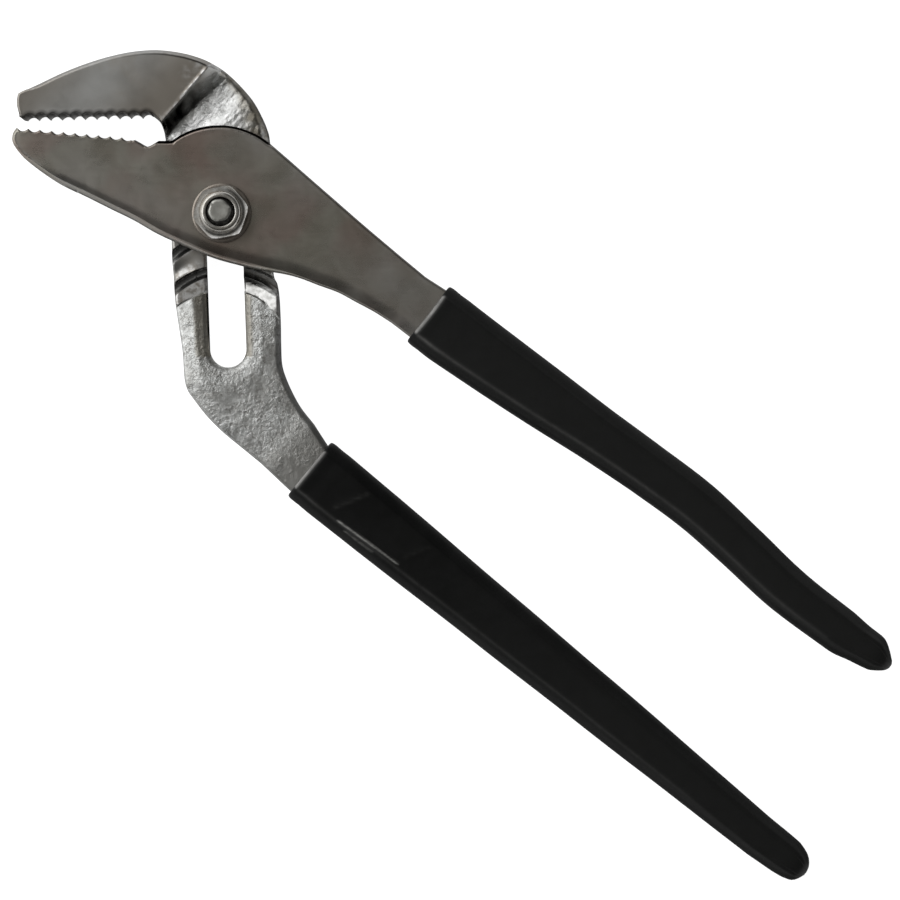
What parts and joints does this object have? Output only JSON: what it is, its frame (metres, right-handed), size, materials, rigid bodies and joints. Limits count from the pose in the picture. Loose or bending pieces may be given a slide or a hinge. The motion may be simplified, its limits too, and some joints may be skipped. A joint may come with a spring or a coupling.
{
  "type": "water pump pliers",
  "caption": "Groove-joint water pump pliers: two forged steel halves with toothed jaws, a pivot bolt that shifts along a slotted plate with arc grooves, and dipped black handle grips.",
  "frame": {"origin": "middle of the tool's outline as it lies on its back, on the surface it lies on", "axes": "+X runs back along the jaw faces from their tips towards the handles, +Y from the lower jaw to the upper jaw, +Z from the resting back face to the nut"},
  "size_m": [0.2032, 0.1932, 0.0211],
  "materials": {
    "front_steel": "flat-ground, dark nickel plated, satin",
    "rear_steel": "as-forged and nickel plated, bright and mottled; jaw face ground",
    "plated_fastener": "bright zinc plated",
    "lock_insert": "matt black locking insert",
    "black_vinyl": "dipped soft vinyl, semi-gloss black"
  },
  "bodies": {
    "rear_half": {"rear_arm": "rear_steel", "lower_grip": "black_vinyl"},
    "pivot": {"pivot_bolt": "plated_fastener", "pivot_washer": "plated_fastener", "lock_nut": "plated_fastener", "nut_lock_ring": "lock_insert"},
    "front_half": {"front_arm": "front_steel", "upper_grip": "black_vinyl"}
  },
  "joints": [
    {"name": "jaw_setting", "type": "slide", "parent": "rear_half", "child": "pivot", "axis": [0.0349, -0.9994, 0], "range_m": [0, 0.0312]},
    {"name": "jaw_pivot", "type": "hinge", "parent": "pivot", "child": "front_half", "pos_m": [-0.05333, 0.05837, 0], "axis": [0, 0, 1], "range_deg": [-2.3, 70]}
  ]
}
